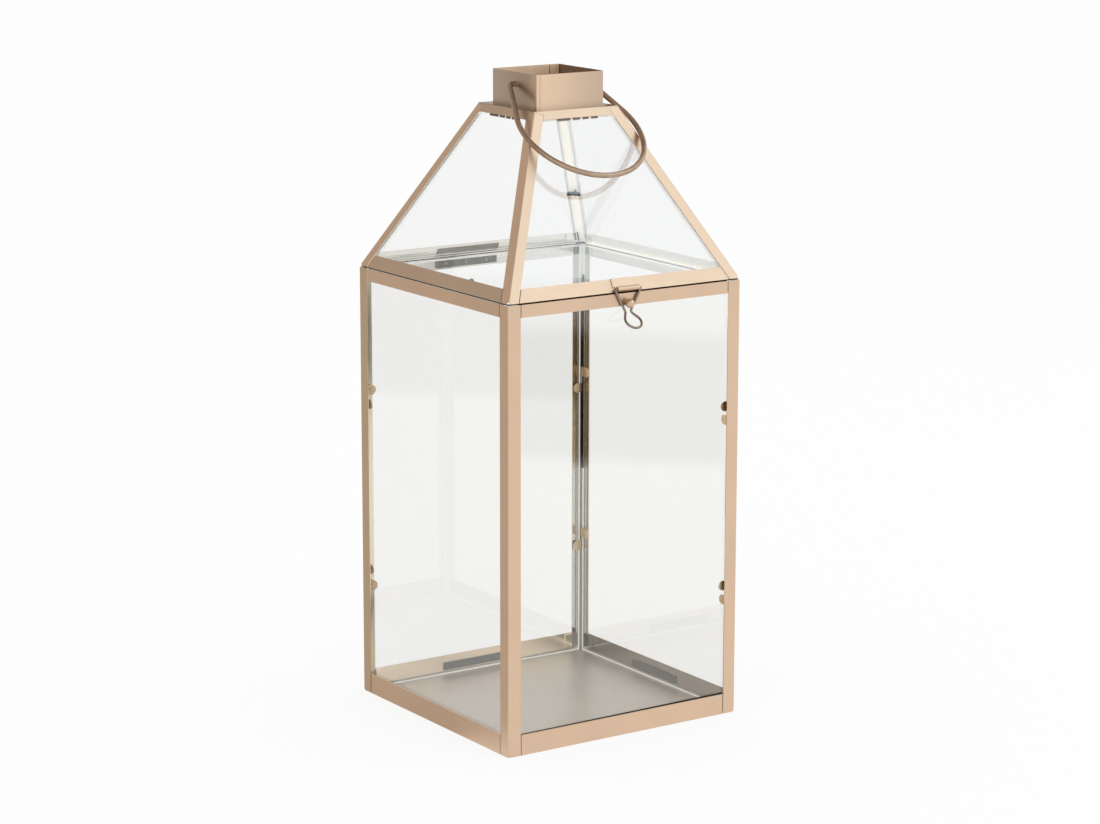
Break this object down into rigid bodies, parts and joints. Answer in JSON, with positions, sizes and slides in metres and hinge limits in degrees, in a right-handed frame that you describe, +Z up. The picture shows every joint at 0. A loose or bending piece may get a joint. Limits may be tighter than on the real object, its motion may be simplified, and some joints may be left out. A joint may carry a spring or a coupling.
{
  "type": "candle lantern",
  "caption": "Square glazed candle lantern with a hinged hipped lid, an open square chimney, a wire bail handle and a wire-loop latch over a ball stud.",
  "frame": {"origin": "middle of the underside of the body, on the surface that it stands on", "axes": "+Z up, -Y towards the latch at the front, +X to the right seen from the front"},
  "size_m": [0.2, 0.2175, 0.4724],
  "materials": {
    "copper_sheet": "copper-plated sheet, satin",
    "copper_wire": "copper-plated wire, satin",
    "fastener_metal": "plated, smooth",
    "clip_metal": "plated thin sheet",
    "clear_glass": "clear, smooth",
    "cushion_strip": "grey, matt"
  },
  "bodies": {
    "body": {"post_front_left": "copper_sheet", "post_front_right": "copper_sheet", "post_rear_right": "copper_sheet", "post_rear_left": "copper_sheet", "bottom_rail_front": "copper_sheet", "bottom_rail_right": "copper_sheet", "bottom_rail_rear": "copper_sheet", "bottom_rail_left": "copper_sheet", "top_rail_front": "copper_sheet", "top_rail_right": "copper_sheet", "top_rail_rear": "copper_sheet", "top_rail_left": "copper_sheet", "base_tray": "copper_sheet", "pane_front": "clear_glass", "pane_right": "clear_glass", "pane_rear": "clear_glass", "pane_left": "clear_glass", "pane_clips_front_left": "clip_metal", "pane_clips_front_right": "clip_metal", "pane_clips_rear_right": "clip_metal", "pane_clips_rear_left": "clip_metal", "lower_strips": "cushion_strip", "latch_stud": "fastener_metal", "hinge_body_leaf": "copper_sheet", "hinge_pin": "fastener_metal", "hinge_body_rivets": "fastener_metal", "hinge_body_backing": "copper_sheet"},
    "lid": {"hip_bar_front_left": "copper_sheet", "hip_bar_front_right": "copper_sheet", "hip_bar_rear_right": "copper_sheet", "hip_bar_rear_left": "copper_sheet", "lid_rail_front": "copper_sheet", "lid_rail_right": "copper_sheet", "lid_rail_rear": "copper_sheet", "lid_rail_left": "copper_sheet", "crown_rail_front": "copper_sheet", "crown_rail_right": "copper_sheet", "crown_rail_rear": "copper_sheet", "crown_rail_left": "copper_sheet", "lid_pane_front": "clear_glass", "lid_pane_right": "clear_glass", "lid_pane_rear": "clear_glass", "lid_pane_left": "clear_glass", "lid_clip": "clip_metal", "lid_cushion": "cushion_strip", "crown_teeth": "copper_sheet", "chimney": "copper_sheet", "latch_plate": "copper_sheet", "hinge_lid_leaf": "copper_sheet", "hinge_lid_rivets": "fastener_metal", "hinge_lid_backing": "copper_sheet"},
    "handle": {"handle": "copper_wire"},
    "latch_loop": {"latch_loop": "copper_wire"}
  },
  "joints": [
    {"name": "lid_hinge", "type": "hinge", "parent": "body", "child": "lid", "pos_m": [0, 0.1019, 0.3248], "axis": [-1, 0, 0], "range_deg": [0, 190]},
    {"name": "handle_swing", "type": "hinge", "parent": "lid", "child": "handle", "pos_m": [0, 0, 0.4636], "axis": [-1, 0, 0], "range_deg": [0, 251.6]},
    {"name": "latch_swing", "type": "hinge", "parent": "lid", "child": "latch_loop", "pos_m": [0, -0.10125, 0.3279], "axis": [-1, 0, 0], "range_deg": [0, 188]}
  ]
}
